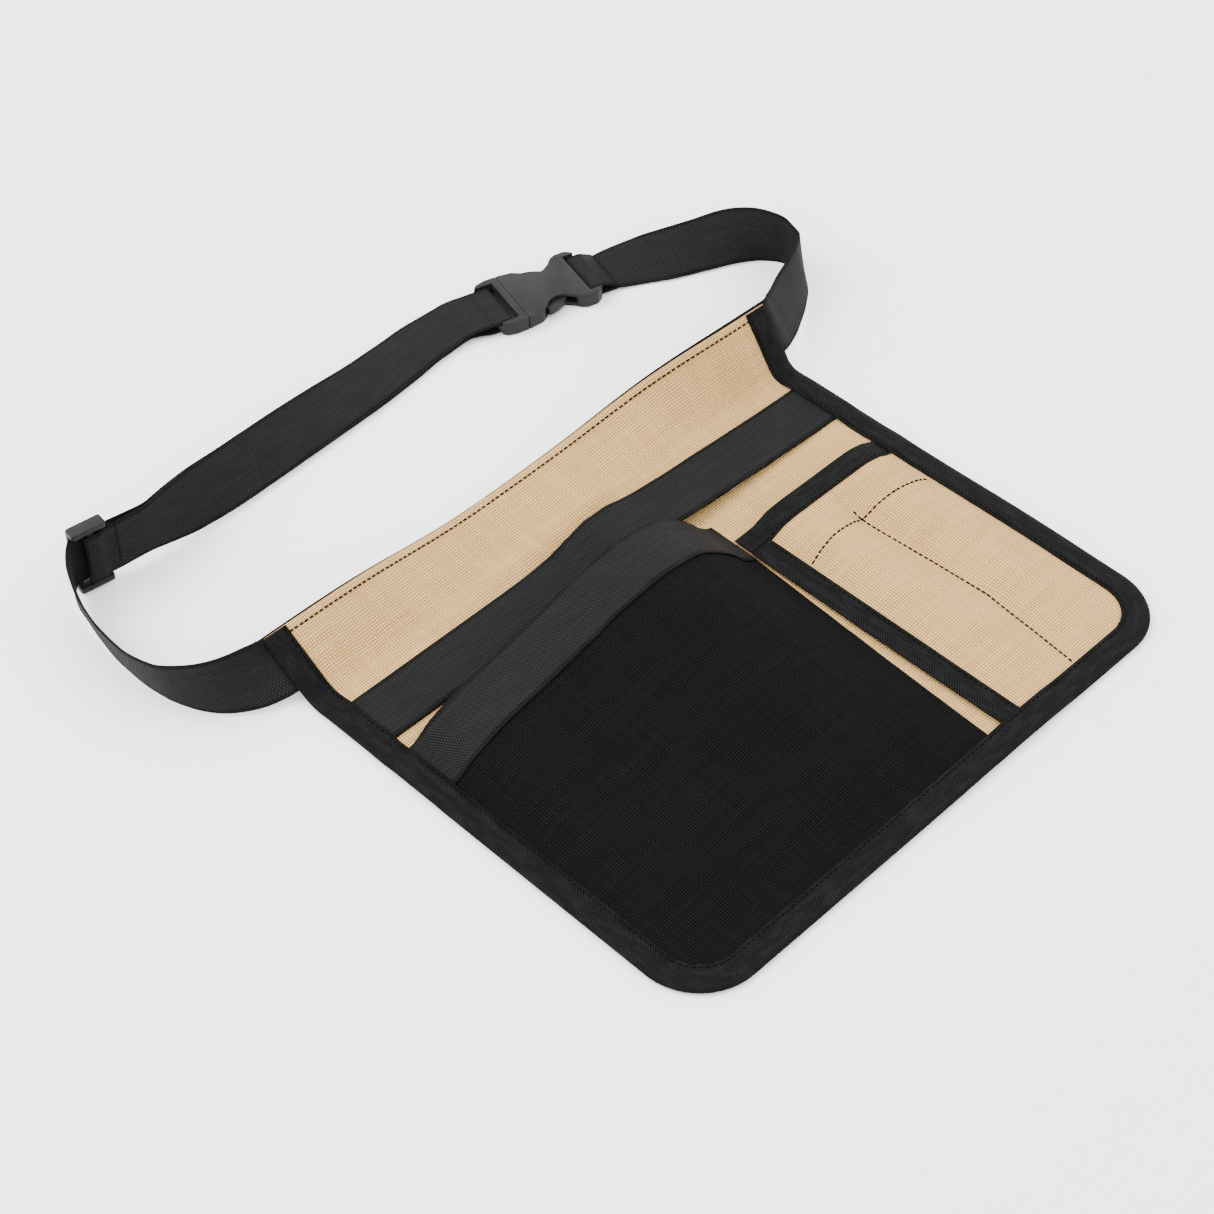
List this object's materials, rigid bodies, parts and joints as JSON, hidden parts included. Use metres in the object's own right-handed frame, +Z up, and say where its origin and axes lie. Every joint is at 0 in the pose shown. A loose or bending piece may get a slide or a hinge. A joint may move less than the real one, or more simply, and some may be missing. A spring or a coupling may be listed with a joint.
{
  "type": "canvas tool belt",
  "caption": "Canvas waist tool belt lying flat: bound panel with a puffed main pocket, a divided tool pocket and a cross strap, on a webbing belt with slider and side release buckle.",
  "frame": {"origin": "middle of the bounding box on the ground", "axes": "+X along the waist, left to right seen from the pockets; +Y from the panel's bottom edge to the waist and belt; +Z up, out of the pockets' face"},
  "size_m": [0.4734, 0.4386, 0.043],
  "materials": {
    "canvas_tan": "plain weave cotton canvas, matt",
    "canvas_black": "plain weave cotton canvas, matt",
    "binding_tape": "twill tape",
    "webbing": "ribbed webbing",
    "buckle_plastic": "satin moulded plastic"
  },
  "bodies": {
    "pouch": {"back_panel": "canvas_tan", "edge_binding": "binding_tape", "waistband_webbing": "webbing", "cross_strap": "webbing", "main_pocket_front": "canvas_black", "main_pocket_gusset": "canvas_black", "main_pocket_mouth_band": "binding_tape", "tool_pocket_front": "canvas_tan", "tool_pocket_top_binding": "binding_tape", "tool_pocket_side_binding": "binding_tape", "left_strap": "webbing", "left_strap_return": "webbing", "right_strap": "webbing", "buckle_plug": "buckle_plastic"},
    "socket": {"buckle_socket": "buckle_plastic", "right_strap_loop": "webbing"},
    "arm_left": {"plug_arm_left": "buckle_plastic"},
    "arm_right": {"plug_arm_right": "buckle_plastic"},
    "slider": {"strap_slider": "buckle_plastic", "left_strap_end": "webbing"}
  },
  "joints": [
    {"name": "buckle_release", "type": "slide", "parent": "pouch", "child": "socket", "axis": [0.9659, -0.2588, 0], "range_m": [0, 0.034], "deforming": ["right_strap", "plug_arm_left", "plug_arm_right"]},
    {"name": "arm_left_squeeze", "type": "hinge", "parent": "pouch", "child": "arm_left", "pos_m": [0.10211, 0.20275, 0.00455], "axis": [0, 0, -1], "range_deg": [0, 8], "stiffness_Nm_per_rad": 0.3},
    {"name": "arm_right_squeeze", "type": "hinge", "parent": "pouch", "child": "arm_right", "pos_m": [0.09595, 0.17976, 0.00455], "axis": [0, 0, 1], "range_deg": [0, 8], "stiffness_Nm_per_rad": 0.3},
    {"name": "slider_adjust", "type": "slide", "parent": "pouch", "child": "slider", "axis": [0.9903, -0.1392, 0], "range_m": [0, 0.015], "deforming": ["left_strap_return"]}
  ]
}
